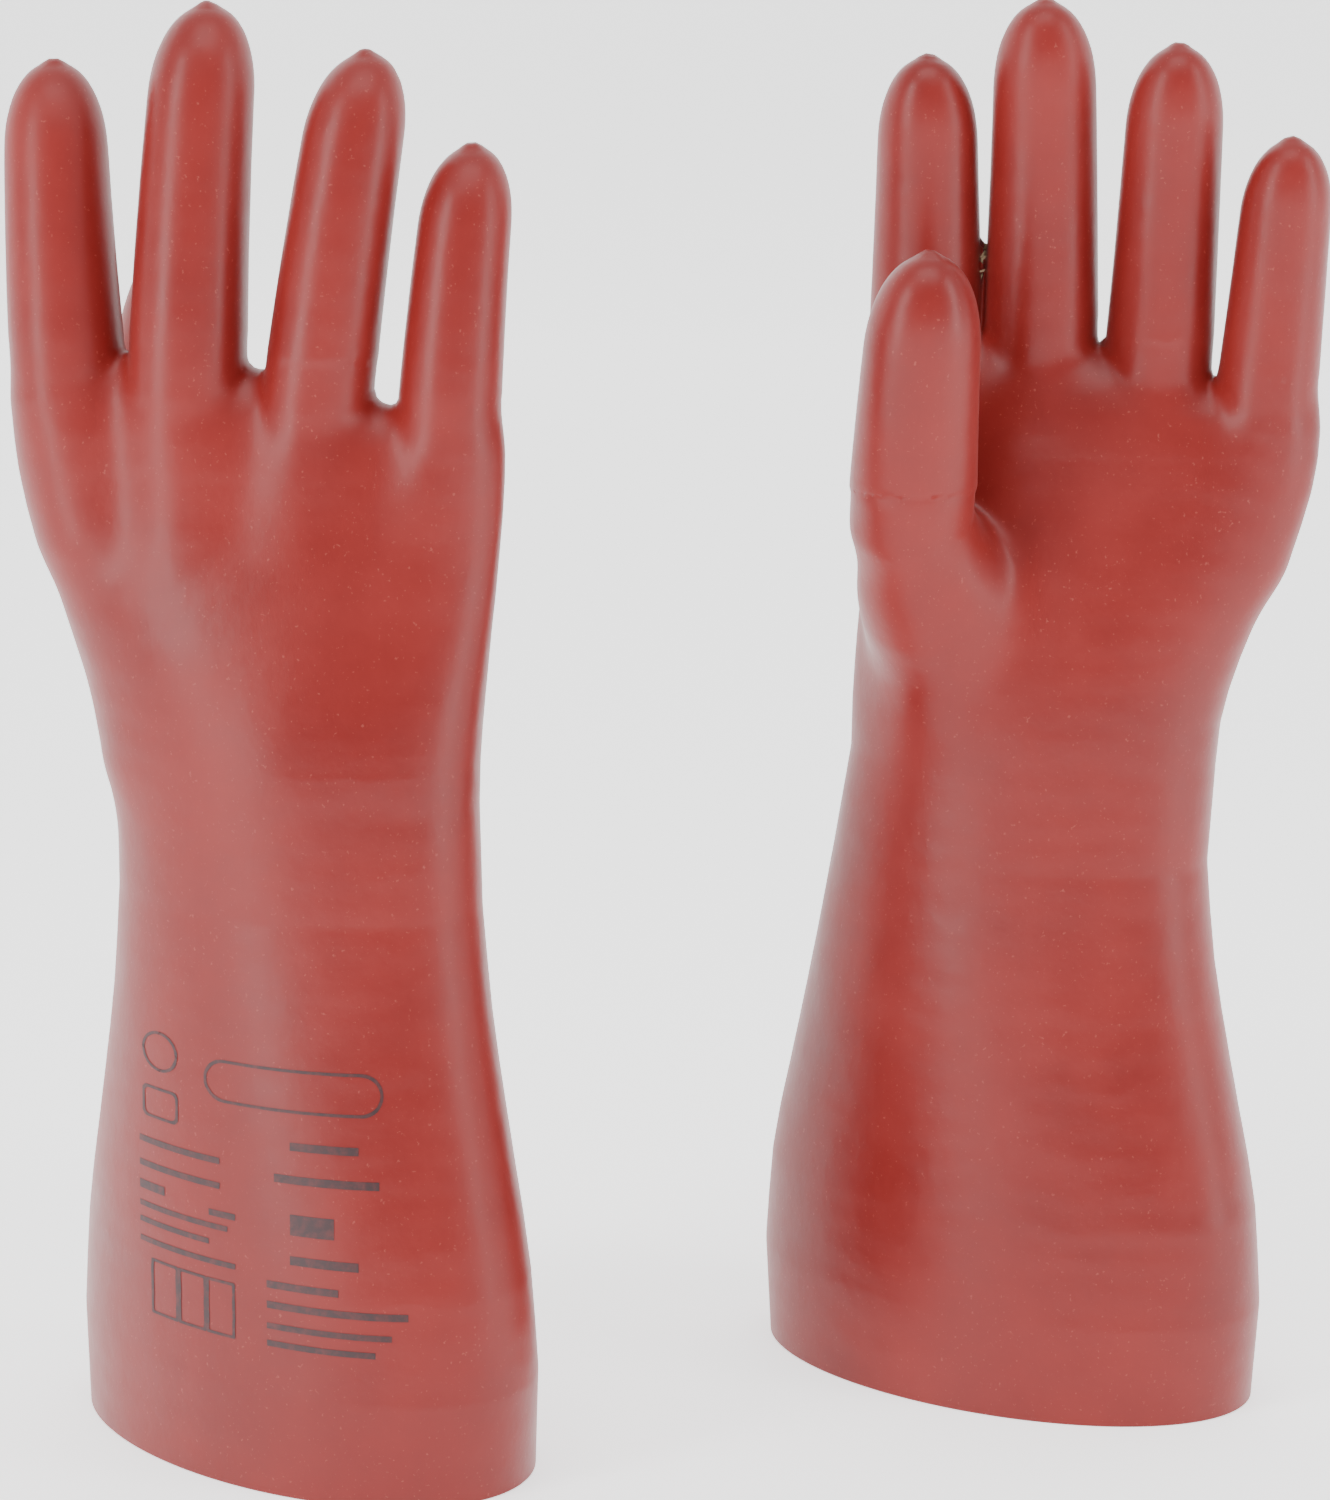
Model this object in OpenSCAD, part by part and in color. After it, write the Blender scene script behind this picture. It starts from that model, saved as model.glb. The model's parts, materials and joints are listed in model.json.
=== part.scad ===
// A pair of electrical insulating gloves, standing on their cuffs.
// Each glove is a rubber outer layer bonded to a pale latex lining, divided at the lines where it bends.

/* [Gauntlet] */
// Height of the wrist bend above the cuff rim
gauntlet_h = 166; // [150:1:180]
// Long axis of the cuff rim
cuff_w = 139; // [130:1:160]
// Short axis of the cuff rim
cuff_t = 84; // [60:1:90]
// Long axis of the wrist
wrist_w = 96; // [90:1:108]
// Short axis of the wrist
wrist_t = 61; // [50:1:70]

/* [Hand] */
// Height of the palm from the wrist bend to its top under the fingers
palm_h = 98; // [92:1:104]
// Width of the palm at the knuckles
palm_w = 112; // [108:1:120]
// Thickness of the palm at the knuckles
palm_t = 34; // [28:1:40]

/* [Fingers] */
// Diameter of the middle finger at its base
finger_d = 28.5; // [24:0.5:30]
// Free length of the middle finger
finger_l = 80; // [70:1:90]
// Lean of the fingers towards the palm
finger_curl = 4; // [0:1:10]
// Further lean of the fingers above their middle joint
tip_curl = 6; // [0:1:12]
// Diameter of the thumb at its base
thumb_d = 31; // [26:0.5:32]
// Free length of the thumb
thumb_l = 62; // [54:1:70]

/* [Layers] */
// Thickness of the outer rubber layer
outer_wall = 1.2; // [0.8:0.1:2]
// Thickness of the latex lining
lining_wall = 0.8; // [0.5:0.1:1.5]
// Clearance where two zones meet at a bend
bend_gap = 0.5; // [0.3:0.1:1]

/* [Placement] */
// Distance between the two cuffs' centres, side to side
pair_w = 182; // [170:1:220]
// How far the left-hand glove stands behind the right-hand glove
set_back = 50; // [0:1:80]
// Turn of both hands about the vertical
hand_yaw = -12; // [-40:1:40]
// Turn of the right-hand glove's cuff about the vertical
right_cuff_yaw = -42; // [-60:1:60]
// Turn of the left-hand glove's cuff about the vertical
left_cuff_yaw = -33; // [-60:1:60]

/* [Hidden] */
RIGHT = 0;
LEFT = 1;
SIDES = [RIGHT, LEFT];
SIDE_NAMES = ["right", "left"];
INDEX = 0;
MIDDLE = 1;
RING = 2;
LITTLE = 3;
THUMB = 4;
DIGITS = [INDEX, MIDDLE, RING, LITTLE, THUMB];
DIGIT_NAMES = ["index", "middle", "ring", "little", "thumb"];
BASE = 0;
TIP = 1;
PART_NAMES = ["base", "tip"];

OUTER = [0, outer_wall];
LINING = [outer_wall, outer_wall + lining_wall];
RUBBER_RED = [0.66, 0.22, 0.20];
LATEX_CREAM = [0.86, 0.76, 0.58];

// The pair's middle on the floor is the origin: these bring the outline's box onto it.
pair_shift_x = -1.75;
pair_shift_y = -22.65;

// Sideways drift of the hand over the cuff, towards the little finger, for the right and left glove.
hand_drift = [-9.5, 19];
// Half the distance between the index and little fingers' middles.
finger_spread = [48, 44];
drift_z = [[160, 290], [115, 285]];
cuff_yaw = [right_cuff_yaw, left_cuff_yaw];
web_z = gauntlet_h + palm_h;

// How far a finger's root runs in towards the middle of the palm.
root_lean = 7;
// How far it runs down into the palm.
root_depth = 34;
// How far the fork's floor lies below the fingers' base planes.
fork_drop = 12;
// The palm's body stops this far below web_z and is rounded over by this much.
body_drop = 16;
body_dome = 11;
// The thumb's ball and heel: across, to the palm side and up from the wrist bend.
thumb_ball = [-33, -17, 48];
thumb_heel = [-29, -6, 16];

// Each digit: place across the hand, height of its base over web_z, length and
// diameter against the middle finger's, and fan angle.
digit_across = [-1, -0.33, 0.36, 1, -0.86];
digit_depth = [-1, 1, 0, -3, -36];
digit_rise = [12, 14, 9, 1, -26];
digit_length = [0.85 * finger_l, finger_l, 0.93 * finger_l, 0.75 * finger_l, thumb_l];
digit_d = [0.98 * finger_d, finger_d, 0.94 * finger_d, 0.87 * finger_d, thumb_d];
digit_fan = [[-3.5, 1], [2.5, 0.5], [7.5, 3], [4, 4.5], [5, 5]];
digit_curl = [finger_curl, finger_curl, finger_curl, finger_curl, 18];
digit_tip_curl = [tip_curl, tip_curl, tip_curl, tip_curl + 1, -10];
// The middle joint's share of the digit's length, and the taper from base to tip.
joint_share = 0.47;
digit_taper = 0.89;

// The cuff swells this much a little above its rim.
cuff_belly = 2.5;
// The cuff starts to narrow towards the wrist at this height.
flare_z = 20;
// The cuff's turn starts to ease off at this height.
turn_z = 30;

loft_sides = 24;
loft_levels = 6;
round_fn = 12;
far = 400;

function ease(t) = let (u = max(0, min(1, t))) u * u * (3 - 2 * u);
function mix(a, b, t) = a + (b - a) * t;

// The forearm and palm sections: half axes, turn and middle at height z.
function arm_half_w(z) = z < gauntlet_h
    ? mix(cuff_w, wrist_w, ease((z - flare_z) / (gauntlet_h - flare_z))) / 2
        + cuff_belly * sin(min(180, 2 * z))
    : mix(wrist_w, palm_w, ease((z - gauntlet_h) / (palm_h - 14))) / 2;
function arm_half_t(z) = z < gauntlet_h
    ? mix(cuff_t, wrist_t, ease(z / gauntlet_h)) / 2
    : mix(wrist_t, palm_t, ease((z - gauntlet_h) / (palm_h - 20))) / 2;
function handed(side) = side == RIGHT ? -1 : 1;
function arm_turn(side, z) =
    handed(side) * (cuff_yaw[side] - hand_yaw) * (1 - ease((z - turn_z) / (web_z - turn_z)));
function drift(side, z) = hand_drift[side] * ease((z - drift_z[side][0]) / (drift_z[side][1] - drift_z[side][0]));
function squareness(z) = mix(1, 0.86, ease((z - gauntlet_h) / palm_h));

function turned(p, a) = [p[0] * cos(a) - p[1] * sin(a), p[0] * sin(a) + p[1] * cos(a)];
function rounded(t, n) = [sign(cos(t)) * pow(abs(cos(t)), n), sign(sin(t)) * pow(abs(sin(t)), n)];
function arm_ring(side, z, inset, squeeze = [0, 0]) = [
    for (k = [0 : loft_sides - 1])
        let (
            u = rounded(360 * k / loft_sides, squareness(z)),
            w = arm_half_w(z) - inset - squeeze[0],
            t = arm_half_t(z) - inset - squeeze[1],
            p = turned([w * u[0], t * u[1]], arm_turn(side, z))
        ) [p[0] + drift(side, z), p[1], z]
];

// A closed skin through rings that run up the outside and back down the inside. The quads
// are halved the same way on both, so that two skins that share a surface fit face to face.
module ring_loop(rings) {
    n = len(rings);
    m = len(rings[0]);
    polyhedron(
        points = [for (r = rings) for (p = r) p],
        faces = [
            for (i = [0 : n - 1]) for (k = [0 : m - 1])
                let (
                    a = i * m + k,
                    b = i * m + (k + 1) % m,
                    c = ((i + 1) % n) * m + (k + 1) % m,
                    d = ((i + 1) % n) * m + k
                ) each (i < n / 2 ? [[a, c, b], [a, d, c]] : [[a, d, b], [b, d, c]])
        ]
    );
}

// A closed skin through stacked rings, with flat ends.
module ring_stack(rings) {
    n = len(rings);
    m = len(rings[0]);
    polyhedron(
        points = [for (r = rings) for (p = r) p],
        faces = concat(
            [[for (k = [0 : m - 1]) k]],
            [[for (k = [0 : m - 1]) n * m - 1 - k]],
            [
                for (i = [0 : n - 2]) for (k = [0 : m - 1])
                    let (
                        a = i * m + k,
                        b = i * m + (k + 1) % m,
                        c = (i + 1) * m + (k + 1) % m,
                        d = (i + 1) * m + k
                    ) each [[a, c, b], [a, d, c]]
            ]
        )
    );
}

// The right-hand glove is the left-hand glove's mirror image, front to back.
module on_glove(side) {
    translate([
        (side == RIGHT ? -pair_w / 2 : pair_w / 2) + pair_shift_x,
        (side == RIGHT ? 0 : set_back) + pair_shift_y,
        0
    ])
        rotate([0, 0, hand_yaw])
            mirror([0, side == RIGHT ? 1 : 0, 0])
                children();
}

// A digit's own frame: its base plane is z = 0 and it points along +Z.
module on_digit(side, d) {
    z = web_z + digit_rise[d];
    translate([drift(side, z) + digit_across[d] * finger_spread[side], digit_depth[d], z])
        rotate([digit_curl[d], 0, 0])
            rotate([0, digit_fan[d][side], 0])
                children();
}

function joint_at(d) = joint_share * digit_length[d];

module on_joint(d, turn_share) {
    translate([0, 0, joint_at(d)])
        rotate([turn_share * digit_tip_curl[d], 0, 0])
            children();
}

// Radius of a digit at s along its length: a slow taper, then a pointed round end.
function digit_r(d, s) =
    let (
        len = digit_length[d],
        r = digit_d[d] / 2,
        dome = 1.35 * r,
        body = mix(r, r * digit_taper, min(1, s / (len - dome))),
        u = max(0, (s - (len - dome)) / dome)
    ) body * pow(max(0, 1 - pow(u, 2.1)), 0.62);

// A solid digit from s0 to s1, with its skin brought in by inset.
module digit_form(d, s0, s1, inset) {
    top = min(s1, digit_length[d] - inset);
    steps = 16;
    closed = s1 > digit_length[d];
    scale_s = digit_length[d] / (digit_length[d] - inset);
    rotate_extrude($fn = 48)
        polygon(concat(
            [[0, s0]],
            [
                for (i = [0 : steps - (closed ? 1 : 0)])
                    let (s = mix(s0, top, closed ? pow(i / steps, 0.55) : i / steps))
                        [max(0.3, digit_r(d, closed ? s * scale_s : s) - inset), s]
            ],
            [[0, top]]
        ));
}

module slab_above() {
    translate([-far / 2, -far / 2, 0])
        cube(far);
}

module slab_below() {
    translate([-far / 2, -far / 2, -far])
        cube(far);
}

// One layer of a digit's lower part, from its base plane to its middle joint.
module digit_base_layer(side, d, layer) {
    run_on = 5;
    on_digit(side, d)
        intersection() {
            difference() {
                digit_form(d, -run_on, joint_at(d) + run_on, layer[0]);
                digit_form(d, -run_on, joint_at(d) + run_on, layer[1]);
            }
            translate([0, 0, bend_gap / 2])
                slab_above();
            on_joint(d, 0.5)
                translate([0, 0, -bend_gap / 2])
                    slab_below();
        }
}

// One layer of a digit's closed upper part, above its middle joint.
module digit_tip_layer(side, d, layer) {
    run_on = 5;
    on_digit(side, d)
        intersection() {
            on_joint(d, 1)
                translate([0, 0, -joint_at(d)])
                    difference() {
                        digit_form(d, joint_at(d) - run_on, digit_length[d] + 1, layer[0]);
                        digit_form(d, joint_at(d) - run_on, digit_length[d] + 1, layer[1]);
                    }
            on_joint(d, 0.5)
                translate([0, 0, bend_gap / 2])
                    slab_above();
        }
}

// One layer of the gauntlet, from the cuff rim to the wrist bend.
module gauntlet_layer(side, layer) {
    top = gauntlet_h - bend_gap / 2;
    levels = [for (i = [0 : loft_levels]) top * i / loft_levels];
    ring_loop(concat(
        [for (z = levels) arm_ring(side, z, layer[0])],
        [for (i = [loft_levels : -1 : 0]) arm_ring(side, levels[i], layer[1])]
    ));
}

// The hand's solid form with its skin brought in by inset, run on past its cut planes.
module hand_form(side, inset) {
    run_on = 2;
    body_top = web_z - body_drop;
    levels = [for (i = [0 : loft_levels]) mix(gauntlet_h - run_on, body_top, i / loft_levels)];
    ring_stack(concat(
        [for (z = levels) arm_ring(side, z, inset)],
        [
            for (a = [35, 70])
                arm_ring(side, body_top + (body_dome - inset) * sin(a), inset,
                    body_dome * (1 - cos(a)) * [1, 0.9])
        ]
    ));
    for (d = [INDEX : LITTLE])
        finger_root(side, d, inset);
    for (d = [INDEX : RING])
        finger_web(side, d, inset);
    thumb_root(side, inset);
}

// A finger's stub, run down into the back of the palm.
module finger_root(side, d, inset) {
    r = digit_d[d] / 2;
    hull() {
        on_digit(side, d)
            translate([0, 0, -1])
                cylinder(r = r - inset, h = 3, $fn = round_fn);
        on_digit(side, d)
            translate([-root_lean * digit_across[d], 0, -root_depth])
                sphere(r = r - inset, $fn = round_fn);
    }
}

// The fork between two neighbouring fingers.
module finger_web(side, d, inset) {
    r = 0.36 * digit_d[d];
    hull()
        for (n = [d, d + 1])
            on_digit(side, n)
                translate([0, 0, -fork_drop])
                    sphere(r = r - inset, $fn = round_fn);
}

// The ball of the thumb, from the wrist to the thumb's base plane.
module thumb_root(side, inset) {
    r = thumb_d / 2;
    hull() {
        on_digit(side, THUMB)
            translate([0, 0, -1])
                cylinder(r = r - inset, h = 3, $fn = round_fn);
        ball(side, thumb_ball, 1.2 * r - inset);
    }
    hull() {
        ball(side, thumb_ball, 1.2 * r - inset);
        ball(side, thumb_heel, 1.15 * r - inset);
    }
}

// A ball placed from the hand's middle line at the wrist bend.
module ball(side, place, r) {
    z = gauntlet_h + place[2];
    translate([place[0] + drift(side, z), place[1], z])
        sphere(r = r, $fn = round_fn);
}

// One layer of the hand, from the wrist bend to the digits' base planes.
module hand_layer(side, layer) {
    difference() {
        hand_form(side, layer[0]);
        hand_form(side, layer[1]);
        translate([0, 0, gauntlet_h + bend_gap / 2])
            slab_below();
        for (d = DIGITS)
            on_digit(side, d)
                translate([0, 0, -bend_gap / 2])
                    cylinder(r = digit_d[d] / 2 + 1, h = 10, $fn = round_fn);
    }
}

function glove_zones() = concat(
    ["gauntlet", "hand"],
    [for (d = DIGITS) for (p = [BASE, TIP]) str(DIGIT_NAMES[d], "_", PART_NAMES[p])]
);
ZONES = glove_zones();
LAYER_SUFFIX = ["", "_lining"];

module glove_zone(side, zone, layer) {
    on_glove(side) {
        if (zone == 0)
            gauntlet_layer(side, layer);
        else if (zone == 1)
            hand_layer(side, layer);
        else {
            d = floor((zone - 2) / 2);
            if (zone % 2 == 0)
                digit_base_layer(side, d, layer);
            else
                digit_tip_layer(side, d, layer);
        }
    }
}

module outer_zone(side, zone) {
    color(RUBBER_RED)
        glove_zone(side, zone, OUTER);
}

module lining_zone(side, zone) {
    color(LATEX_CREAM)
        glove_zone(side, zone, LINING);
}

for (s = SIDES) for (z = [0 : len(ZONES) - 1]) {
    name = str(SIDE_NAMES[s], "_", ZONES[z]);
    outer_zone(s, z);
    lining_zone(s, z);
}
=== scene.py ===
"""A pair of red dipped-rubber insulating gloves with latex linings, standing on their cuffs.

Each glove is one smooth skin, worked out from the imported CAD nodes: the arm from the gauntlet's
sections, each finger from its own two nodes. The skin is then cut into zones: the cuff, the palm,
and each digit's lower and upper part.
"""
import json
import math

import bpy
import numpy as np
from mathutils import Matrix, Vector


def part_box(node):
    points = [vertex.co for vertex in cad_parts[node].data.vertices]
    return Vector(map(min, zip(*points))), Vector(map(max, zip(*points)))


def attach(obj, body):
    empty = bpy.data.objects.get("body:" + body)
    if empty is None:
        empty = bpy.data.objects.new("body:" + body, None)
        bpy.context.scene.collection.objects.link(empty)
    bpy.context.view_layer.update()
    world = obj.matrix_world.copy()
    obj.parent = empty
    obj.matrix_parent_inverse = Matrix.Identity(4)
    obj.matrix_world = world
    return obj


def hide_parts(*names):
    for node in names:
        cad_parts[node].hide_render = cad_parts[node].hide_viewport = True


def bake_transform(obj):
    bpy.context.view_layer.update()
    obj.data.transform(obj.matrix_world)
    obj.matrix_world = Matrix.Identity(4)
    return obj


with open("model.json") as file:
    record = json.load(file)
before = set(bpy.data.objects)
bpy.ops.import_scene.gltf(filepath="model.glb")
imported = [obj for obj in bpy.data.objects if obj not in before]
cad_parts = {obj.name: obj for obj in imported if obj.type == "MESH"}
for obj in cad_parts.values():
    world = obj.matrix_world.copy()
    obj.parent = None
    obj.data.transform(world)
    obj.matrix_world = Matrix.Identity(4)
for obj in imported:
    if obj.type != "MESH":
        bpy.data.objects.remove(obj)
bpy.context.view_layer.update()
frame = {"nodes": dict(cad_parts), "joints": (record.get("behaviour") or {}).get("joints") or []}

SIDES = ("right", "left")
FINGERS = ("index", "middle", "ring", "little")
DIGITS = FINGERS + ("thumb",)
MM = 0.001
VOXEL = 1.9 * MM
OUTER_WALL = 1.2 * MM
TOTAL_WALL = 2.0 * MM
WRIST_BLEND = (-20 * MM, 22 * MM)
KNUCKLE_BLEND = (0.5 * MM, 16 * MM)
BEND_HALF = 9 * MM


# ---------------------------------------------------------------- measuring the frame

def mesh_arrays(name):
    mesh = frame["nodes"][name].data
    mesh.calc_loop_triangles()
    points = np.zeros(len(mesh.vertices) * 3)
    mesh.vertices.foreach_get("co", points)
    corners = np.zeros(len(mesh.loop_triangles) * 3, dtype=int)
    mesh.loop_triangles.foreach_get("vertices", corners)
    return points.reshape(-1, 3), corners.reshape(-1, 3)


def section(name, z):
    """The points where a node's surface crosses height z."""
    points, triangles = mesh_arrays(name)
    found = []
    for a, b in ((0, 1), (1, 2), (2, 0)):
        p, q = points[triangles[:, a]], points[triangles[:, b]]
        crossing = (p[:, 2] > z) != (q[:, 2] > z)
        p, q = p[crossing], q[crossing]
        t = (z - p[:, 2]) / (q[:, 2] - p[:, 2])
        found.append(p[:, :2] + t[:, None] * (q - p)[:, :2])
    return np.concatenate(found)


def height_at(name, share):
    low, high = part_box(name)
    return low.z + share * (high.z - low.z)


def round_section(name, share):
    """(height, middle, radius) of a tube's section at a share of its height."""
    z = height_at(name, share)
    ring = section(name, z)
    low, high = ring.min(0), ring.max(0)
    return z, (low + high) / 2, (high - low).min() / 2


def oval_section(name, z):
    """(middle, matrix) of an oval section: the matrix holds its squared half sizes and its turn."""
    ring = section(name, z)
    low, high = ring.min(0), ring.max(0)
    middle = (low + high) / 2
    half = (high - low) / 2
    diagonal = ((ring - middle) @ np.array([1, 1]) / math.sqrt(2)).max()
    skew = diagonal ** 2 - (half ** 2).sum() / 2
    return middle, np.array([half[0] ** 2, half[1] ** 2, skew])


def unit(v):
    return v / np.linalg.norm(v)


def ease(t):
    t = np.clip(t, 0, 1)
    return t * t * (3 - 2 * t)


class Digit:
    """A finger or thumb: its curved middle line and radius by height, and its two joints."""

    def __init__(self, side, name):
        base, tip = f"{side}_{name}_base", f"{side}_{name}_tip"
        rings = [round_section(base, 0.35), round_section(base, 0.65), round_section(tip, 0.4)]
        points, _ = mesh_arrays(tip)
        apex = points[points[:, 2].argmax()]
        z = np.array([r[0] for r in rings] + [apex[2]])
        xy = np.array([r[1] for r in rings] + [apex[:2]])
        self.curve = [np.polyfit(z, xy[:, k], 2) for k in (0, 1)]
        self.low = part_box(base)[0].z
        self.top = apex[2]
        self.radius_fit = np.polyfit(z[:3], [r[2] for r in rings], 1)
        self.joints = [joint_into(base), joint_into(tip)]
        self.base_z = self.joint_height(0)
        self.bend_z = self.joint_height(1)
        self.cos_tilt = unit(self.direction(self.bend_z))[2]

    def middle(self, z):
        """The middle line at height z, run on straight below the base."""
        low = np.maximum(z, self.low)
        slopes = [np.polyval(np.polyder(c), self.low) for c in self.curve]
        run = [np.polyval(c, low) + slope * (z - low) for c, slope in zip(self.curve, slopes)]
        return np.stack(run, axis=-1)

    def point(self, z):
        return np.append(self.middle(z), z)

    def direction(self, z):
        slopes = [np.polyval(np.polyder(c), z) for c in self.curve]
        return np.array(slopes + [1.0])

    def radius(self, z):
        return np.polyval(self.radius_fit, z)

    def joint_height(self, which):
        """The height at which the middle line passes through a joint's cut plane."""
        pivot = np.array(self.joints[which]["pos_m"])
        z = pivot[2]
        for _ in range(6):
            along = unit(self.direction(z))
            z += (pivot - self.point(z)) @ along * along[2]
        return z


def joint_into(body):
    return next(j for j in frame["joints"] if j["child"] == body)


# ---------------------------------------------------------------- the skin's form

def blend_min(a, b, soft):
    """The nearer of two distances, with a rounded join."""
    h = np.maximum(soft - np.abs(a - b), 0) / soft
    return np.minimum(a, b) - h * h * h * soft / 6


def blend_max(a, b, soft):
    return -blend_min(-a, -b, soft)


def cone_distance(p, a, b, ra, rb):
    """Distance to a round-ended stretch from a to b whose radius goes from ra to rb."""
    ab = b - a
    t = np.clip(((p - a) @ ab) / (ab @ ab), 0, 1)
    return np.linalg.norm(p - a - t[..., None] * ab, axis=-1) - (ra + (rb - ra) * t)


class Glove:
    """One glove's outer form as a signed distance, built from its CAD nodes."""

    # The knuckles' oval, against a finger's radius, and how far it lies below the lowest base.
    KNUCKLE_SPREAD = 0.92
    KNUCKLE_DEPTH = 1.08
    KNUCKLE_DROP = 12 * MM
    # The fork between two fingers lies this far below their bases, and falls away to both
    # faces of the hand by FORK_FALL.
    FORK_DROP = 2.5 * MM
    FORK_FALL = 13 * MM
    PALM_SOFT = 15 * MM
    # A finger's root: straight down to its neck, then leaning in towards the palm's middle,
    # and leaning back by ROOT_BACK. ROOT_LEAN is for a finger LEAN_REACH from the middle.
    NECK_DEPTH = 12 * MM
    ROOT_DEPTH = 44 * MM
    ROOT_LEAN = 4 * MM
    LEAN_REACH = 32 * MM
    ROOT_BACK = -1.5 * MM
    ROOT_TAPER = 0.88
    # The thumb's ball and heel: shares of the way from the wrist's middle to the thumb's
    # base (across, to the palm side, up), and radius against the thumb's.
    THUMB_NECK = 9 * MM
    THUMB_BALL = (0.86, 0.52, 0.60)
    THUMB_HEEL = (0.68, 0.16, 0.16)
    BALL_SWELL = 1.12
    HEEL_SWELL = 1.1
    # How softly forms join: at the digits' bases, and SOFTEN_DEPTH or more below them.
    FORK_SOFT = 5 * MM
    ROOT_SOFT = 13 * MM
    MOUND_SOFT = 16 * MM
    SOFTEN_DEPTH = 30 * MM
    # A fingertip's dome: length against its radius, and the power of its outline.
    TIP_LENGTH = 1.7
    TIP_POWER = 2.15
    # The moulding nib on each fingertip.
    NIB_RADIUS = 2 * MM
    NIB_RISE = 0.8 * MM
    NIB_SOFT = 3 * MM

    def __init__(self, side):
        self.side = side
        self.digits = {name: Digit(side, name) for name in DIGITS}
        gauntlet = f"{side}_gauntlet"
        self.wrist_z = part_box(gauntlet)[1].z
        heights = np.linspace(0.5 * MM, self.wrist_z - 0.5 * MM, 14)
        ovals = [oval_section(gauntlet, z) for z in heights]
        fingers = [self.digits[f] for f in FINGERS]
        bases = np.array([f.point(f.base_z) for f in fingers])
        across = bases[3] - bases[0]
        self.across = unit(across[:2])
        self.palm_side = np.array([-self.across[1], self.across[0]])
        thumb = self.digits["thumb"]
        if (thumb.middle(thumb.base_z) - bases[0, :2]) @ self.palm_side < 0:
            self.palm_side = -self.palm_side
        radius = np.mean([f.radius(f.base_z) for f in fingers])
        half_w = np.linalg.norm(across[:2]) / 2 + self.KNUCKLE_SPREAD * radius
        self.half_t = self.KNUCKLE_DEPTH * radius
        top = (half_w ** 2 * np.outer(self.across, self.across)
               + self.half_t ** 2 * np.outer(self.palm_side, self.palm_side))
        knuckle_rise = bases[:, 2].min() - self.KNUCKLE_DROP - self.wrist_z
        self.bases = bases
        knuckle_middle = (bases[0, :2] + bases[3, :2]) / 2
        rise = np.linspace(0.12, 1, 10)
        share = ease(rise)[:, None]
        last_middle, last_oval = ovals[-1]
        knuckle_oval = np.array([top[0, 0], top[1, 1], top[0, 1]])
        palm_middles = last_middle + share * (knuckle_middle - last_middle)
        palm_ovals = last_oval + share * (knuckle_oval - last_oval)
        self.levels = np.concatenate([heights, self.wrist_z + rise * knuckle_rise])
        self.middles = np.concatenate([[o[0] for o in ovals], palm_middles])
        self.ovals = np.concatenate([[o[1] for o in ovals], palm_ovals])
        self.wrist_middle = last_middle
        self.roots = [self.root_of(f) for f in fingers]
        self.mound = self.thumb_mound()

    def root_of(self, finger):
        """The three points of a finger's root: its base, its neck and its end in the palm."""
        start = finger.point(finger.base_z)
        neck = start - unit(finger.direction(finger.base_z)) * self.NECK_DEPTH
        centre = (self.bases[0] + self.bases[3]) / 2
        lean = np.append(self.across * ((centre - start)[:2] @ self.across) / self.LEAN_REACH, 0)
        end = neck + self.ROOT_LEAN * lean - np.array([0, 0, self.ROOT_DEPTH - self.NECK_DEPTH])
        end[:2] += self.palm_side * self.ROOT_BACK
        return start, neck, end

    def thumb_mound(self):
        """The ball of the thumb: round stretches from the thumb's base to the wrist."""
        thumb = self.digits["thumb"]
        base = thumb.point(thumb.base_z)
        wrist = np.append(self.wrist_middle, self.wrist_z)
        t = base - wrist
        out, fore = t[:2] @ self.across, t[:2] @ self.palm_side

        def at(out_share, fore_share, up_share):
            flat = self.across * out * out_share + self.palm_side * fore * fore_share
            return wrist + np.append(flat, t[2] * up_share)

        r = thumb.radius(thumb.base_z)
        neck = base - unit(thumb.direction(thumb.base_z)) * self.THUMB_NECK
        ball, heel = at(*self.THUMB_BALL), at(*self.THUMB_HEEL)
        ball_r, heel_r = self.BALL_SWELL * r, self.HEEL_SWELL * r
        return [(base, neck, r, r), (neck, ball, r, ball_r), (ball, heel, ball_r, heel_r)]

    def arm(self, p):
        """Distance to the forearm and palm, rounded over at the forks between the fingers."""
        z = np.clip(p[..., 2], self.levels[0], self.levels[-1])
        x, y = (p[..., k] - np.interp(z, self.levels, self.middles[:, k]) for k in (0, 1))
        a, b, c = (np.interp(z, self.levels, self.ovals[:, k]) for k in range(3))
        det = a * b - c * c
        gx, gy = (b * x - c * y) / det, (a * y - c * x) / det
        g = np.sqrt(np.maximum(x * gx + y * gy, 1e-9))
        side = g * (g - 1) / np.maximum(np.hypot(gx, gy), 1e-6)
        across = (p[..., :2] - self.bases[0, :2]) @ self.across
        stops = (self.bases[:, :2] - self.bases[0, :2]) @ self.across
        web = np.minimum(self.bases[:-1, 2], self.bases[1:, 2]) - self.FORK_DROP
        middles = (stops[1:] + stops[:-1]) / 2
        depth = (p[..., :2] - (self.bases[0, :2] + self.bases[3, :2]) / 2) @ self.palm_side
        fall = self.FORK_FALL * np.minimum((depth / self.half_t) ** 2, 2)
        roof = np.interp(across, middles, web) - fall
        return blend_max(side, p[..., 2] - roof, self.PALM_SOFT)

    def finger(self, p, digit):
        """Distance to a digit above its base."""
        z = p[..., 2]
        r = digit.radius(np.minimum(z, digit.top))
        rho = np.linalg.norm(p[..., :2] - digit.middle(z), axis=-1) * digit.cos_tilt
        length = self.TIP_LENGTH * r
        u = np.maximum(z - (digit.top - length), 0) / length
        g = (u ** self.TIP_POWER + (rho / r) ** self.TIP_POWER) ** (1 / self.TIP_POWER)
        return blend_max((g - 1) * r, digit.base_z - z, 2 * MM)

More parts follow.
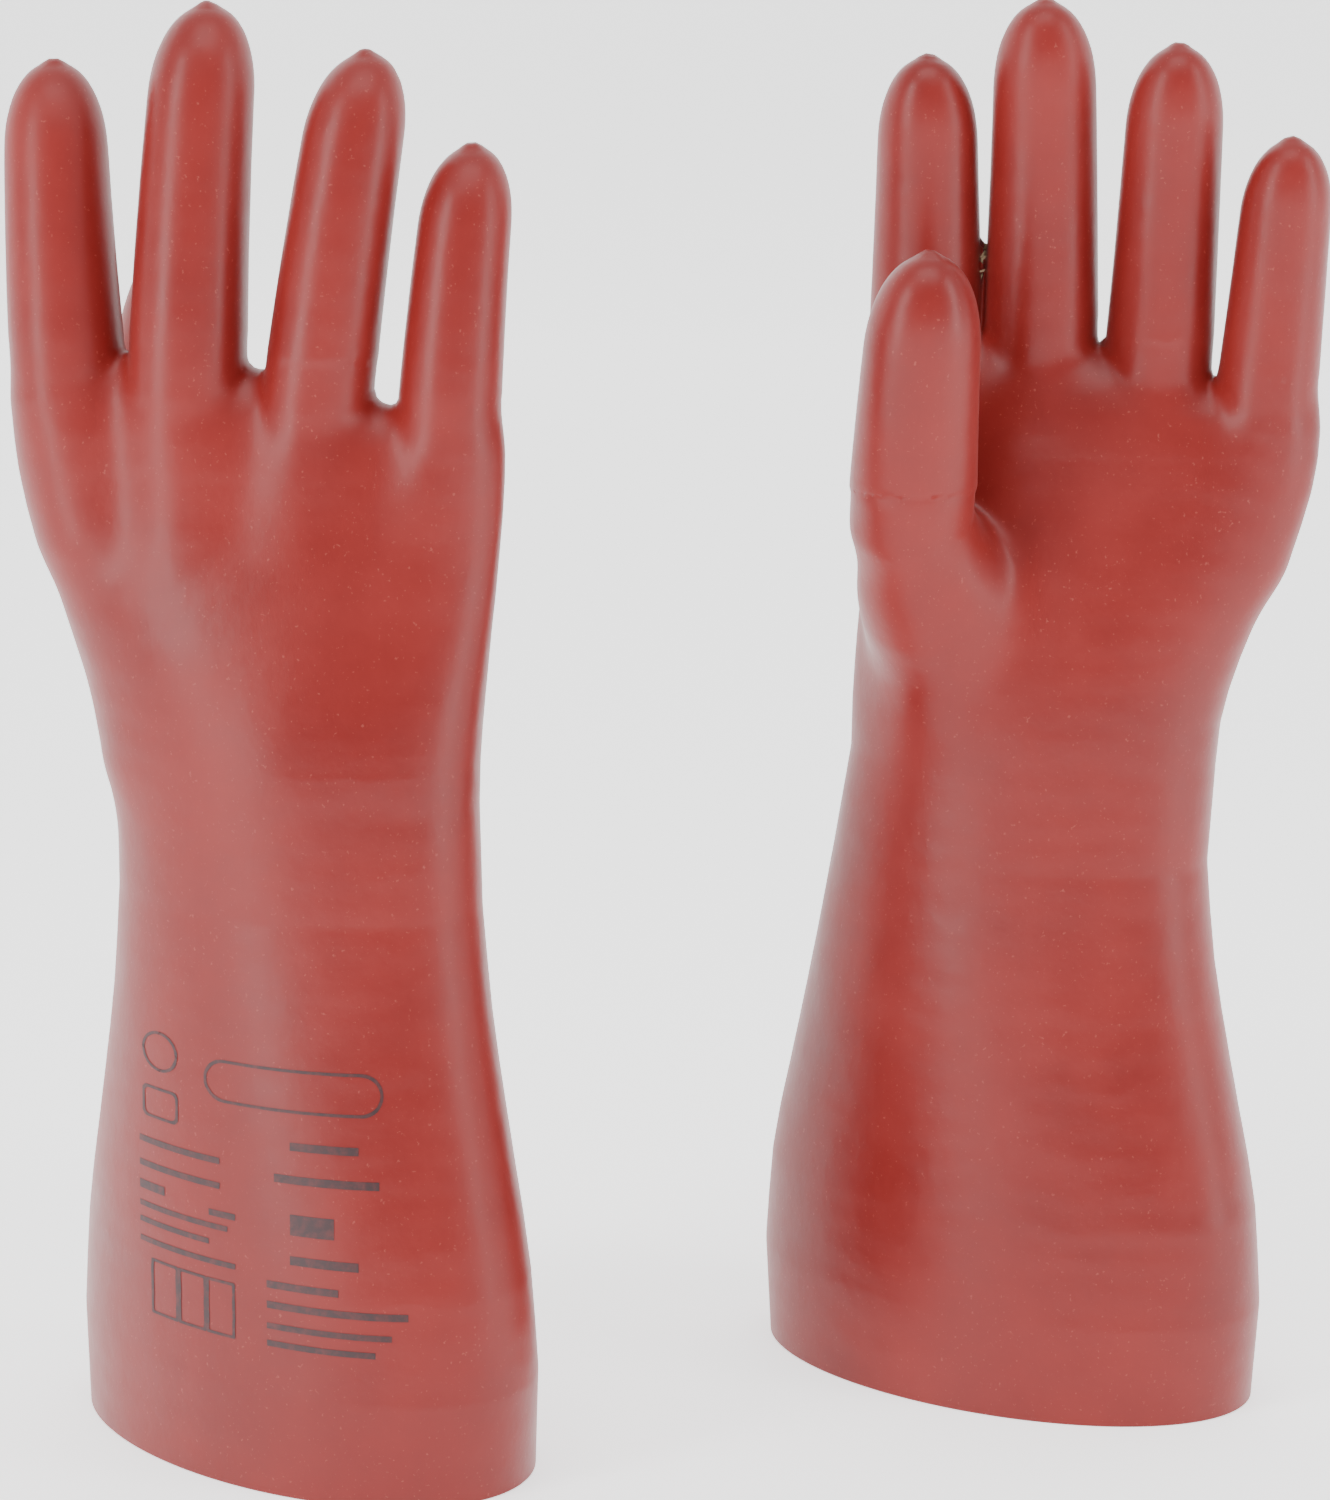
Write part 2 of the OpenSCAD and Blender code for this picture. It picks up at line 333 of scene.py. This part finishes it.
    def distance(self, p):
        """Distance from points to the whole glove's outer skin, less than zero inside."""
        *stem, heel = self.mound
        d = blend_min(self.arm(p), cone_distance(p, *heel), self.MOUND_SOFT)
        for name in DIGITS:
            digit = self.digits[name]
            shape = self.finger(p, digit)
            if name == "thumb":
                root, most = stem, self.MOUND_SOFT
            else:
                start, neck, end = self.roots[FINGERS.index(name)]
                r = digit.radius(start[2])
                root = ((start, neck, r, r), (neck, end, r, self.ROOT_TAPER * r))
                most = self.ROOT_SOFT
            for stretch in root:
                shape = np.minimum(shape, cone_distance(p, *stretch))
            deep = ease((digit.base_z - p[..., 2]) / self.SOFTEN_DEPTH)
            d = blend_min(d, shape, self.FORK_SOFT + (most - self.FORK_SOFT) * deep)
        for digit in self.digits.values():
            nib = digit.point(digit.top - self.NIB_RADIUS) + np.array([0, 0, self.NIB_RISE])
            d = blend_min(d, np.linalg.norm(p - nib, axis=-1) - self.NIB_RADIUS, self.NIB_SOFT)
        return d

    def gradient(self, p):
        step = 0.2 * MM
        slopes = [self.distance(p + step * a) - self.distance(p - step * a) for a in np.eye(3)]
        return np.stack(slopes, axis=-1) / (2 * step)

    def settle(self, p, rounds=4):
        """Moves points onto the skin and returns them with its normals."""
        for _ in range(rounds):
            g = self.gradient(p)
            p = p - (self.distance(p) / np.maximum((g * g).sum(-1), 1e-6))[:, None] * g
        g = self.gradient(p)
        return p, g / np.linalg.norm(g, axis=1)[:, None]


# ---------------------------------------------------------------- the skin's mesh

def surface_net(field, origin, step):
    """Points and four-sided faces where a sampled field changes sign."""
    inside = field < 0
    shape = np.array(field.shape) - 1
    count = np.zeros(shape, dtype=np.int8)
    total = np.zeros(tuple(shape) + (3,))
    hits = np.zeros(shape)
    corner = {}
    for i in (0, 1):
        for j in (0, 1):
            for k in (0, 1):
                cut = (slice(i, i + shape[0]), slice(j, j + shape[1]), slice(k, k + shape[2]))
                corner[i, j, k] = cut
                count += inside[cut]
    active = (count > 0) & (count < 8)
    for a in corner:
        for axis in range(3):
            if a[axis]:
                continue
            b = tuple(v + (n == axis) for n, v in enumerate(a))
            fa, fb = field[corner[a]][active], field[corner[b]][active]
            crossing = (fa < 0) != (fb < 0)
            t = np.where(crossing, fa / np.where(crossing, fa - fb, 1), 0)
            place = np.array(a) + t[:, None] * (np.array(b) - np.array(a))
            total[active] += np.where(crossing[:, None], place, 0)
            hits[active] += crossing
    index = np.full(shape, -1)
    index[active] = np.arange(active.sum())
    cells = np.argwhere(active)
    points = origin + step * (cells + total[active] / hits[active][:, None])
    faces = []
    for axis in range(3):
        u, v = (axis + 1) % 3, (axis + 2) % 3
        low = [slice(1, -1)] * 3
        low[axis] = slice(0, -1)
        high = list(low)
        high[axis] = slice(1, None)
        a, b = inside[tuple(low)], inside[tuple(high)]
        where = np.argwhere(a != b)
        start = where + np.array([0 if n == axis else 1 for n in range(3)])
        flip = b[tuple(where.T)]
        eu, ev = np.eye(3, dtype=int)[u], np.eye(3, dtype=int)[v]
        quad = [index[tuple((start - s).T)] for s in (eu * 0, eu, eu + ev, ev)]
        quad = np.stack(quad, axis=1)
        quad[flip] = quad[flip][:, ::-1]
        faces.append(quad)
    return points, np.concatenate(faces)


def glove_skin(glove):
    """The whole outer skin: points, normals and faces, with a level rim at the floor."""
    nodes = [n for n in frame["nodes"] if n.startswith(glove.side)]
    low = np.min([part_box(n)[0] for n in nodes], axis=0) - 5 * MM
    high = np.max([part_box(n)[1] for n in nodes], axis=0) + 5 * MM
    low[2] = -3.5 * VOXEL
    counts = np.ceil((high - low) / VOXEL).astype(int) + 1
    axes = [low[k] + VOXEL * np.arange(counts[k]) for k in range(3)]
    field = np.empty(counts)
    for k, z in enumerate(axes[2]):
        x, y = np.meshgrid(axes[0], axes[1], indexing="ij")
        field[:, :, k] = glove.distance(np.stack([x, y, np.full_like(x, z)], axis=-1))
    points, faces = surface_net(field, low, VOXEL)
    kept = points[faces][:, :, 2].min(axis=1) > -0.6 * VOXEL
    faces = faces[kept]
    used = np.unique(faces)
    renumber = np.full(len(points), -1)
    renumber[used] = np.arange(len(used))
    points, faces = points[used], renumber[faces]
    points, normals = glove.settle(points)
    return points, normals, faces


def boundary(faces):
    """The directed edges that only one face uses."""
    edges = np.concatenate([faces[:, [k, (k + 1) % 4]] for k in range(4)])
    keys = edges.min(1) * (faces.max() + 1) + edges.max(1)
    _, first, uses = np.unique(keys, return_index=True, return_counts=True)
    return edges[first[uses == 1]]


# A face belongs to a digit when it is within this many radii of its middle line.
DIGIT_REACH = 1.25
# The cuff's piece runs on this far above the top of WRIST_BLEND.
WRIST_SPARE = 6 * MM


def zone_of_faces(glove, points, faces):
    """Names each face's zone: lower, palm, or a digit's lower or upper part."""
    middle = points[faces].mean(axis=1)
    split_z = glove.wrist_z + WRIST_BLEND[1] + WRIST_SPARE
    zone = np.where(middle[:, 2] < split_z, "lower", "palm").astype("<U16")
    for name in DIGITS:
        digit = glove.digits[name]
        reach = np.linalg.norm(middle[:, :2] - digit.middle(middle[:, 2]), axis=1)
        near = reach < DIGIT_REACH * digit.radius(digit.base_z)
        for other in DIGITS:
            if other != name:
                rival = glove.digits[other]
                near &= reach <= np.linalg.norm(middle[:, :2] - rival.middle(middle[:, 2]), axis=1)
        along = digit_along(digit, middle)
        near &= along > KNUCKLE_BLEND[0]
        split = (digit.bend_z - digit.base_z) / digit.cos_tilt - BEND_HALF - 0.5 * MM
        zone[near & (along <= split)] = name + "_base"
        zone[near & (along > split)] = name + "_tip"
    return zone


def digit_along(digit, p):
    """How far points lie above a digit's base plane, along its direction there."""
    return (p - digit.point(digit.base_z)) @ unit(digit.direction(digit.base_z))


def make_piece(name, points, normals, faces, material):
    """A smooth mesh object with the whole skin's normals, so that its edges don't show."""
    used = np.unique(faces)
    renumber = np.full(len(points), -1)
    renumber[used] = np.arange(len(used))
    mesh = bpy.data.meshes.new(name)
    mesh.from_pydata(points[used].tolist(), [], renumber[faces].tolist())
    mesh.shade_smooth()
    mesh.normals_split_custom_set_from_vertices(normals[used].tolist())
    mesh.materials.append(material)
    piece = bpy.data.objects.new(name, mesh)
    bpy.context.scene.collection.objects.link(piece)
    return piece


def bend_piece(glove, piece, zone):
    """Rides the palm's piece on the hand's body; the other zones' pieces stay in place, their
    transform baked into their mesh.
    """
    side = glove.side
    if zone == "palm":
        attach(piece, f"{side}_hand")
    elif zone == "lower":
        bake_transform(piece)
    else:
        name, part = zone.split("_")
        digit = glove.digits[name]
        if part == "base":
            origin, along = digit.point(digit.base_z), unit(digit.direction(digit.base_z))
            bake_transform(piece)
        else:
            origin, along = digit.point(digit.bend_z), unit(digit.direction(digit.bend_z))
            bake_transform(piece)


ZONE_NODE = {"lower": "gauntlet", "palm": "hand"}


def add_rim(points, normals, faces, insets):
    """Turns the rim under: one strip of faces for each step of (inset, height)."""
    edges = boundary(faces)
    edges = edges[points[edges][:, :, 2].max(axis=1) < 2 * VOXEL]
    ring = np.unique(edges)
    place = np.full(len(points), -1)
    place[ring] = np.arange(len(ring))
    flat = normals[ring] * np.array([1, 1, 0])
    flat /= np.linalg.norm(flat, axis=1)[:, None]
    lip = points[ring].copy()
    points[ring, 2] = insets[0][1]
    all_points, all_normals, all_faces = [points], [normals], [faces]
    last = ring
    for inset, height in insets[1:]:
        new = lip - flat * inset
        new[:, 2] = height
        first = sum(len(p) for p in all_points)
        row = first + np.arange(len(ring))
        all_points.append(new)
        all_normals.append(np.tile([0.0, 0.0, -1.0], (len(ring), 1)))
        a, b = place[edges[:, 0]], place[edges[:, 1]]
        all_faces.append(np.stack([last[b], last[a], row[a], row[b]], axis=1))
        last = row
    return np.concatenate(all_points), np.concatenate(all_normals), np.concatenate(all_faces)


def build_glove(side, rubber, latex):
    glove = Glove(side)
    points, normals, faces = glove_skin(glove)
    inner = points - normals * TOTAL_WALL
    lining_faces = faces[:, ::-1]
    zone = zone_of_faces(glove, points, faces)
    outer_rim = ((0, 0.35 * MM), (0.35 * MM, 0), (OUTER_WALL, 0))
    skin = add_rim(points.copy(), normals, faces, outer_rim)
    inner_rim = ((0, 0.35 * MM), (-0.3 * MM, 0), (OUTER_WALL - TOTAL_WALL, 0))
    lining = add_rim(inner, -normals, lining_faces, inner_rim)
    rim_zone = np.full(len(skin[2]) - len(faces), "lower", dtype=zone.dtype)
    zones = np.concatenate([zone, rim_zone])
    for name in np.unique(zone):
        node = f"{side}_{ZONE_NODE.get(name, name)}"
        for form, suffix, material, slot in (
            (skin, "", rubber, "outer_rubber"), (lining, "_lining", latex, "latex_lining")
        ):
            faces_here = form[2][zones == name]
            piece = make_piece(node + suffix + "_skin", form[0], form[1], faces_here, material)
            bend_piece(glove, piece, name)
            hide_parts(node + suffix)
    return glove


# ---------------------------------------------------------------- materials

def new_material(name):
    material = bpy.data.materials.new(name)
    material.use_nodes = True
    return material, material.node_tree.nodes, material.node_tree.links


def texture(nodes, links, kind, scale, **inputs):
    """A procedural texture in object space, in metres."""
    node = nodes.new(kind)
    node.inputs["Scale"].default_value = scale
    for name, value in inputs.items():
        node.inputs[name].default_value = value
    place = nodes.new("ShaderNodeTexCoord")
    links.new(place.outputs["Object"], node.inputs["Vector"])
    return node


def ramp(nodes, links, source, stops):
    """A colour ramp driven by a texture's factor."""
    node = nodes.new("ShaderNodeValToRGB")
    links.new(source, node.inputs["Fac"])
    node.color_ramp.elements[0].position, node.color_ramp.elements[0].color = stops[0]
    node.color_ramp.elements[1].position, node.color_ramp.elements[1].color = stops[-1]
    for position, colour in stops[1:-1]:
        node.color_ramp.elements.new(position).color = colour
    return node.outputs["Color"]


def grey(value):
    return (value, value, value, 1)


def bumps(nodes, links, shader, layers):
    """Stacks bump layers of (height output, strength, depth) onto the shader's normal."""
    last = None
    for height, strength, depth in layers:
        bump = nodes.new("ShaderNodeBump")
        bump.inputs["Strength"].default_value = strength
        bump.inputs["Distance"].default_value = depth
        links.new(height, bump.inputs["Height"])
        if last:
            links.new(last, bump.inputs["Normal"])
        last = bump.outputs["Normal"]
    links.new(last, shader.inputs["Normal"])


def rubber_material():
    """Satin red rubber: mottled, with fine specks, faint dip lines and small lumps."""
    material, nodes, links = new_material("red_rubber")
    shader = nodes["Principled BSDF"]
    mottle = texture(nodes, links, "ShaderNodeTexNoise", 26, Detail=5, Roughness=0.6)
    colour = ramp(nodes, links, mottle.outputs["Fac"], (
        (0.30, (0.178, 0.0105, 0.0085, 1)),
        (0.52, (0.205, 0.0130, 0.0102, 1)),
        (0.74, (0.232, 0.0165, 0.013, 1)),
    ))
    specks = texture(nodes, links, "ShaderNodeTexNoise", 1100, Detail=2, Roughness=0.5)
    speck_mask = ramp(nodes, links, specks.outputs["Fac"], ((0.66, grey(0)), (0.74, grey(0.35))))
    mix = nodes.new("ShaderNodeMix")
    mix.data_type = "RGBA"
    links.new(speck_mask, mix.inputs["Factor"])
    links.new(colour, mix.inputs["A"])
    mix.inputs["B"].default_value = (0.42, 0.10, 0.08, 1)
    links.new(mix.outputs["Result"], shader.inputs["Base Color"])
    gloss = ramp(nodes, links, mottle.outputs["Fac"], ((0.35, grey(0.34)), (0.65, grey(0.44))))
    links.new(gloss, shader.inputs["Roughness"])
    shader.inputs["Specular IOR Level"].default_value = 0.36
    shader.inputs["Sheen Weight"].default_value = 0.06
    shader.inputs["Sheen Roughness"].default_value = 0.4
    shader.inputs["Sheen Tint"].default_value = (1.0, 0.78, 0.76, 1)
    fine = texture(nodes, links, "ShaderNodeTexNoise", 700, Detail=3, Roughness=0.6)
    dip = texture(nodes, links, "ShaderNodeTexWave", 34, Distortion=5.0, Detail=2)
    dip.bands_direction = "Z"
    lumps = texture(nodes, links, "ShaderNodeTexNoise", 60, Detail=3, Roughness=0.5)
    bumps(nodes, links, shader, (
        (lumps.outputs["Fac"], 0.5, 0.0007),
        (dip.outputs["Fac"], 0.12, 0.0004),
        (fine.outputs["Fac"], 0.3, 0.00012),
    ))
    return material


def latex_material():
    """Matt natural latex, slightly cloudy."""
    material, nodes, links = new_material("natural_latex")
    shader = nodes["Principled BSDF"]
    cloud = texture(nodes, links, "ShaderNodeTexNoise", 40, Detail=4, Roughness=0.6)
    colour = ramp(nodes, links, cloud.outputs["Fac"], (
        (0.3, (0.56, 0.40, 0.22, 1)), (0.7, (0.70, 0.55, 0.35, 1))))
    links.new(colour, shader.inputs["Base Color"])
    shader.inputs["Roughness"].default_value = 0.68
    fine = texture(nodes, links, "ShaderNodeTexNoise", 600, Detail=3, Roughness=0.6)
    bumps(nodes, links, shader, ((fine.outputs["Fac"], 0.4, 0.0002),))
    return material


def ink_material():
    """Dark stamped ink, worn thin in places."""
    material, nodes, links = new_material("stamped_ink")
    shader = nodes["Principled BSDF"]
    wear = texture(nodes, links, "ShaderNodeTexNoise", 420, Detail=3, Roughness=0.7)
    colour = ramp(nodes, links, wear.outputs["Fac"], (
        (0.42, (0.030, 0.008, 0.010, 1)), (0.72, (0.085, 0.012, 0.012, 1))))
    links.new(colour, shader.inputs["Base Color"])
    shader.inputs["Roughness"].default_value = 0.5
    return material


# ---------------------------------------------------------------- the stamped marks

# Plain bars in place of lettering, as (left, right, height, thickness) in mm. Left and right
# are measured from a line LABEL_INDENT in from the cuff's left edge.
LABEL_BARS = (
    (0, 22, 80.5, 1.6), (0, 22, 74.4, 1.6), (0, 7, 69.0, 2.2), (19, 26, 67.5, 1.6),
    (0, 24, 64.2, 1.4), (0, 19, 60.2, 1.4), (0, 26, 55.4, 1.4), (40, 57, 87.0, 2.0),
    (36, 62, 79.0, 2.0), (40, 51, 68.2, 5.0), (40, 57, 59.6, 2.2), (34, 52, 53.0, 1.8),
    (34, 69, 48.0, 1.8), (34, 65, 42.8, 1.5), (34, 61, 38.5, 1.5),
)
# Outlines: (left, right, low, high, corner radius) in mm.
LABEL_OUTLINES = (
    (18, 63, 95, 105.5, 5.2), (1, 11, 98.5, 108.5, 5), (1, 11, 86.5, 94.5, 1.5),
    (3, 10.6, 37.5, 51.3, 0.4), (10.6, 18.2, 37.5, 51.3, 0.4), (18.2, 25.8, 37.5, 51.3, 0.4),
)
LABEL_INDENT = 20 * MM
LABEL_LINE = 0.75


def rounded_outline(left, right, low, high, radius, steps=8):
    """Points round a rounded rectangle."""
    corners = ((right, high, 0), (left, high, 90), (left, low, 180), (right, low, 270))
    points = []
    for x, z, turn in corners:
        for k in range(steps + 1):
            angle = math.radians(turn + 90 * k / steps)
            cx = x - radius if x == right else x + radius
            cz = z - radius if z == high else z + radius
            points.append((cx + radius * math.cos(angle), cz + radius * math.sin(angle)))
    return np.array(points)


def densify(loop, spacing=2.0):
    out = []
    for a, b in zip(loop, np.roll(loop, -1, axis=0)):
        count = max(1, int(np.linalg.norm(b - a) / spacing))
        out.extend(a + (b - a) * k / count for k in range(count))
    return np.array(out)


def add_label(glove, ink):
    """The stamped marks, laid on the front of the cuff just above the skin."""
    flat, faces = [], []

    def strip(first, second, closed):
        start = len(flat)
        count = len(first)
        flat.extend(first)
        flat.extend(second)
        for k in range(count if closed else count - 1):
            n = (k + 1) % count
            faces.append((start + k, start + n, start + count + n, start + count + k))

    for left, right, height, thick in LABEL_BARS:
        x = np.linspace(left, right, max(2, int((right - left) / 2) + 1))
        strip([(v, height - thick / 2) for v in x], [(v, height + thick / 2) for v in x], False)
    for left, right, low, high, radius in LABEL_OUTLINES:
        outer = densify(rounded_outline(left, right, low, high, radius))
        middle = np.array([(left + right) / 2, (low + high) / 2])
        half = np.array([(right - left) / 2, (high - low) / 2])
        inner = middle + (outer - middle) * (half - LABEL_LINE) / half
        strip([tuple(p) for p in outer], [tuple(p) for p in inner], True)
    flat = np.array(flat) * MM
    low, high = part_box("right_gauntlet")
    left = low.x + LABEL_INDENT
    depths = np.arange(low.y - 2 * MM, high.y, 0.3 * MM)
    rays = np.empty((len(flat), len(depths), 3))
    rays[:, :, 0] = left + flat[:, :1]
    rays[:, :, 1] = depths
    rays[:, :, 2] = flat[:, 1:]
    first = (glove.distance(rays) < 0).argmax(axis=1)
    points, normals = glove.settle(rays[np.arange(len(flat)), first], 5)
    label = make_piece("stamped_marks", points + normals * 0.1 * MM, normals, np.array(faces), ink)
    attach(label, "right_gauntlet")


# ---------------------------------------------------------------- the scene

def area_light(name, place, target, size, power, colour=(1, 1, 1)):
    light = bpy.data.lights.new(name, "AREA")
    light.shape = "RECTANGLE"
    light.size, light.size_y = size
    light.energy = power
    light.color = colour
    lamp = bpy.data.objects.new(name, light)
    lamp.location = place
    lamp.rotation_euler = (Vector(target) - Vector(place)).to_track_quat("-Z", "Y").to_euler()
    bpy.context.scene.collection.objects.link(lamp)
    return lamp


# The backdrop: the floor bends up to a wall behind the gloves.
WALL_Y = 2.4
WALL_HEIGHT = 6


def studio():
    world = bpy.data.worlds.new("studio")
    world.use_nodes = True
    nodes, links = world.node_tree.nodes, world.node_tree.links
    place = nodes.new("ShaderNodeTexCoord")
    split = nodes.new("ShaderNodeSeparateXYZ")
    links.new(place.outputs["Generated"], split.inputs["Vector"])
    shift = nodes.new("ShaderNodeMath")
    shift.operation = "MULTIPLY_ADD"
    links.new(split.outputs["Y"], shift.inputs[0])
    shift.inputs[1].default_value = 0.5
    shift.inputs[2].default_value = 0.5
    glow = ramp(nodes, links, shift.outputs["Value"], (
        (0.25, grey(0.42)), (0.55, grey(0.75)), (0.8, grey(1))))
    links.new(glow, nodes["Background"].inputs["Color"])
    nodes["Background"].inputs["Strength"].default_value = 1.25
    bpy.context.scene.world = world
    mesh = bpy.data.meshes.new("floor")
    reach, bend, steps = 30, 1.2, 12
    turns = [math.radians(90 * k / steps) for k in range(steps + 1)]
    profile = [(-reach, 0)]
    profile += [(WALL_Y + bend * math.sin(a), bend - bend * math.cos(a)) for a in turns]
    profile.append((WALL_Y + bend, WALL_HEIGHT))
    corners = [(x, y, z) for y, z in profile for x in (-reach, reach)]
    faces = [(2 * k, 2 * k + 1, 2 * k + 3, 2 * k + 2) for k in range(len(profile) - 1)]
    mesh.from_pydata(corners, [], faces)
    mesh.shade_smooth()
    floor = bpy.data.objects.new("floor", mesh)
    material, nodes, _ = new_material("pale_floor")
    nodes["Principled BSDF"].inputs["Base Color"].default_value = (0.92, 0.92, 0.92, 1)
    nodes["Principled BSDF"].inputs["Roughness"].default_value = 0.8
    nodes["Principled BSDF"].inputs["Emission Color"].default_value = (1, 1, 1, 1)
    nodes["Principled BSDF"].inputs["Emission Strength"].default_value = 1.25
    mesh.materials.append(material)
    bpy.context.scene.collection.objects.link(floor)
    middle = (0, 0, 0.2)
    area_light("left_box", (-1.1, -0.8, 0.6), middle, (0.35, 1.4), 14)
    area_light("right_box", (1.2, -0.5, 0.6), middle, (0.35, 1.4), 9)
    area_light("top_box", (0, -0.6, 1.7), middle, (1.4, 0.8), 12)


def camera():
    data = bpy.data.cameras.new("camera")
    data.sensor_fit = "VERTICAL"
    data.sensor_height = 36
    data.lens = 100.8
    eye = bpy.data.objects.new("camera", data)
    eye.location = (-0.00175, -1.0378, 0.3899)
    eye.rotation_euler = (math.radians(90 - 11.88), 0, 0)
    bpy.context.scene.collection.objects.link(eye)
    bpy.context.scene.camera = eye


camera()
studio()
RUBBER = rubber_material()
LATEX = latex_material()
GLOVES = {side: build_glove(side, RUBBER, LATEX) for side in SIDES}
add_label(GLOVES["right"], ink_material())
